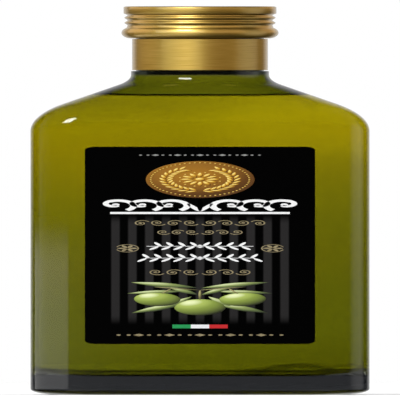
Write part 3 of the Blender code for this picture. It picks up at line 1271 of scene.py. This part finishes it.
add_node(tree, "ShaderNodeOutputWorld", Surface=chosen.outputs["Shader"])
print("mirror-like surfaces see a wall behind of", WALL_LIGHT, "and a dark room")

# %% [markdown]
# The brushed gold needs what the glass must not have: broad soft boxes round the front. Light linking
# gives a lamp a collection of objects that it lights, so these light the metal alone. One small lamp
# lights everything, for the sparkle on the shoulder of the glass.

# %% The soft boxes
LAMP_DISTANCE = 0.8
NECK_HEIGHT = (collar_low[2] + cap_high[2]) / 2

metal = bpy.data.collections.new("metal")
for piece in (screw_cap, neck_collar):
    metal.objects.link(piece)


def soft_box(name, azimuth, elevation, size, power, colour="FFFFFF", receivers=None):
    """A softbox turned to face the neck. Azimuth 0 is in front of the label."""
    lamp = bpy.data.lights.new(name, "AREA")
    lamp.color = linear(colour)[:3]
    lamp.shape = "RECTANGLE"
    lamp.size, lamp.size_y = size
    lamp.energy = power
    box = add_object(name, lamp)
    turned = Matrix.Rotation(math.radians(azimuth), 3, "Z")
    raised = Matrix.Rotation(math.radians(-elevation), 3, "X")
    away = turned @ raised @ Vector((0, -1, 0))
    box.location = Vector((0, 0, NECK_HEIGHT)) + away * LAMP_DISTANCE
    box.rotation_euler = (-away).to_track_quat("-Z", "Y").to_euler()
    if receivers:
        box.light_linking.receiver_collection = receivers
    print("soft box", name, "of", power, "watts")


soft_box("sparkle", -24, 33, (0.30, 0.21), 3.0)
soft_box("metal_key", -33, 18, (1.16, 0.50), 3.2, "EAF2FF", metal)
soft_box("metal_left", -106, 18, (0.90, 0.50), 1.4, "FFEEDA", metal)
soft_box("metal_right", 128, 18, (0.60, 0.50), 0.45, "FFE0B8", metal)
soft_box("metal_fill", 36, 18, (1.10, 0.50), 1.15, "FFE6C8", metal)

# %% [markdown]
# Low on the left the glass mirrors a pale card, which lies as a grey veil over the corner. The card is
# bent round that side and shows in mirror-like reflections alone. It fades out upwards and towards the
# front, and also below the ground, so that no hard edge of it shows when the glass is seen from above.

# %% The card on the left
CARD_RADIUS = 0.5
CARD_TOP = 112.0 * MM
CARD_FULL = 78.0 * MM
CARD_FOOT = -130.0 * MM
CARD_DARK_X = -10.0 * MM
CARD_FULL_X = -120.0 * MM
CARD_START = math.radians(-1)
CARD_TURN = math.radians(-120)

bm = bmesh.new()
foot = bm.verts.new((0, -CARD_RADIUS, CARD_FOOT))
bmesh.ops.rotate(bm, verts=[foot], cent=(0, 0, 0), matrix=Matrix.Rotation(CARD_START, 3, "Z"))
spin(bm, [foot], CARD_TURN, steps=60)
raised = bmesh.ops.extrude_edge_only(bm, edges=bm.edges[:])["geom"]
bmesh.ops.translate(bm, verts=points_of(raised), vec=(0, 0, CARD_TOP - CARD_FOOT))
card_paper, tree, shader = new_material("white_card", "F0F0F0", Roughness=0.9)
axes = axes_of(tree, object_place(tree))
glow = product(
    tree,
    fade(tree, axes["Z"], CARD_TOP, CARD_FULL),
    fade(tree, axes["Z"], CARD_FOOT, 0.0),
    fade(tree, axes["X"], CARD_DARK_X, CARD_FULL_X),
)
shader.inputs["Emission Color"].default_value = (1, 1, 1, 1)
shader.inputs["Base Color"].default_value = (0, 0, 0, 1)
tree.links.new(glow, shader.inputs["Emission Strength"])
card = mesh_object("card", bm, card_paper)
card.visible_camera = False
card.visible_diffuse = False
card.visible_transmission = False
card.visible_shadow = False

# %% [markdown]
# ## The camera
#
# The photograph is stretched sideways: its round medal is nearly three times as wide as it is high. The
# bottle here keeps its real proportions, and the main camera repeats the stretch instead, so that its
# picture can be laid over the photograph. A camera can't be scaled, but it can lean. Its stand shears
# it: the picture's sideways axis is tilted far back along the view. With parallel rays that depth
# doesn't show, and only the narrowed sideways step is left. A camera without the stand sees the
# bottle as it is.

# %% The camera
CAMERA_AZIMUTH = math.radians(0.0)
CAMERA_ELEVATION = math.radians(0.3)
CAMERA_DISTANCE = 1.2
PICTURE_HEIGHT = 257.0 * MM
PICTURE_CENTRE = 125.15 * MM
SIDEWAYS_STRETCH = 2.96
ROOM_FOR_OTHER_VIEWS = 1.126

camera_data = bpy.data.cameras.new("camera")
camera_data.type = "ORTHO"
camera_data.ortho_scale = PICTURE_HEIGHT * ROOM_FOR_OTHER_VIEWS
camera = add_object("camera", camera_data)
bpy.context.scene.camera = camera
reach = math.cos(CAMERA_ELEVATION) * CAMERA_DISTANCE
camera.location = (
    reach * math.sin(CAMERA_AZIMUTH),
    -reach * math.cos(CAMERA_AZIMUTH),
    PICTURE_CENTRE + math.sin(CAMERA_ELEVATION) * CAMERA_DISTANCE,
)
camera.rotation_euler = (math.pi / 2 - CAMERA_ELEVATION, 0, CAMERA_AZIMUTH)

lean = Matrix.Identity(4)
lean[2][0] = math.sqrt((SIDEWAYS_STRETCH * ROOM_FOR_OTHER_VIEWS) ** 2 - 1)
lean[2][1] = math.sqrt(ROOM_FOR_OTHER_VIEWS**2 - 1)
stand = add_object("camera_stand", None)
camera.parent = stand
camera.matrix_parent_inverse = camera.matrix_basis @ lean @ camera.matrix_basis.inverted()

bpy.context.scene.view_settings.view_transform = "Standard"
print("the picture is", round(PICTURE_HEIGHT / MM, 1), "mm high, stretched", SIDEWAYS_STRETCH, "times")
